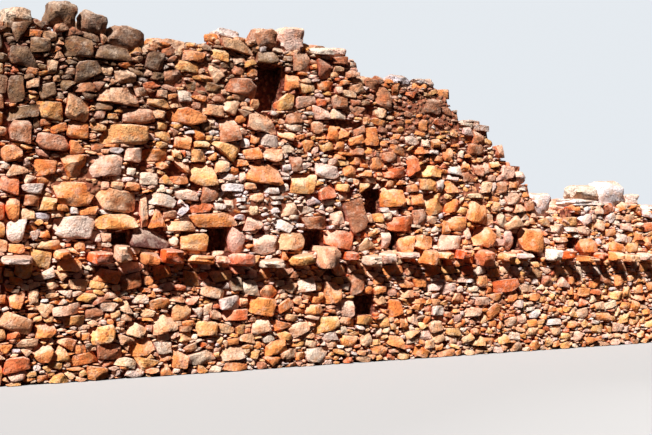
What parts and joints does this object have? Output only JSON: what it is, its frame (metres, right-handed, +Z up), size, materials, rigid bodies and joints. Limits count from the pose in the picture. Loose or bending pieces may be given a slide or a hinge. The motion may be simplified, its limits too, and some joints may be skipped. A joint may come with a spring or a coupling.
{
  "type": "dry stone wall",
  "caption": "Long ruined dry stone wall with a stepped broken top, a ledge of through slabs, joist sockets and a tall niche, standing free on a flat base.",
  "frame": {"origin": "middle of the base, on the ground", "axes": "+X along the wall, +Y from the front face to the back face, +Z up"},
  "size_m": [12, 1.4232, 4.7686],
  "materials": {
    "faced_stone": "rough weathered sandstone in ochre, tan and pink",
    "ledge_stone": "rough split slab of red and pink sandstone",
    "cap_stone": "weathered boulder, pale or lichen brown",
    "hearting": "small rubble and earth"
  },
  "bodies": {
    "root": {"front_base_bay_1": "faced_stone", "front_base_bay_2": "faced_stone", "front_base_bay_3": "faced_stone", "front_base_bay_4": "faced_stone", "front_base_bay_5": "faced_stone", "front_base_bay_6": "faced_stone", "back_base_bay_1": "faced_stone", "back_base_bay_2": "faced_stone", "back_base_bay_3": "faced_stone", "back_base_bay_4": "faced_stone", "back_base_bay_5": "faced_stone", "back_base_bay_6": "faced_stone", "ledge_bay_1": "ledge_stone", "ledge_bay_2": "ledge_stone", "ledge_bay_3": "ledge_stone", "ledge_bay_4": "ledge_stone", "ledge_bay_5": "ledge_stone", "ledge_bay_6": "ledge_stone", "front_wall_bay_1": "faced_stone", "front_wall_bay_2": "faced_stone", "front_wall_bay_3": "faced_stone", "front_wall_bay_4": "faced_stone", "front_wall_bay_5": "faced_stone", "front_wall_bay_6": "faced_stone", "back_wall_bay_1": "faced_stone", "back_wall_bay_2": "faced_stone", "back_wall_bay_3": "faced_stone", "back_wall_bay_4": "faced_stone", "back_wall_bay_5": "faced_stone", "back_wall_bay_6": "faced_stone", "cap_stones_bay_1": "cap_stone", "cap_stones_bay_2": "cap_stone", "cap_stones_bay_3": "cap_stone", "cap_stones_bay_4": "cap_stone", "cap_stones_bay_5": "cap_stone", "cap_stones_bay_6": "cap_stone", "base_hearting": "hearting", "wall_hearting_left": "hearting", "wall_hearting_middle": "hearting", "wall_hearting_right": "hearting", "left_head_base": "faced_stone", "left_head_wall": "faced_stone", "right_head_base": "faced_stone", "right_head_wall": "faced_stone"}
  },
  "joints": []
}
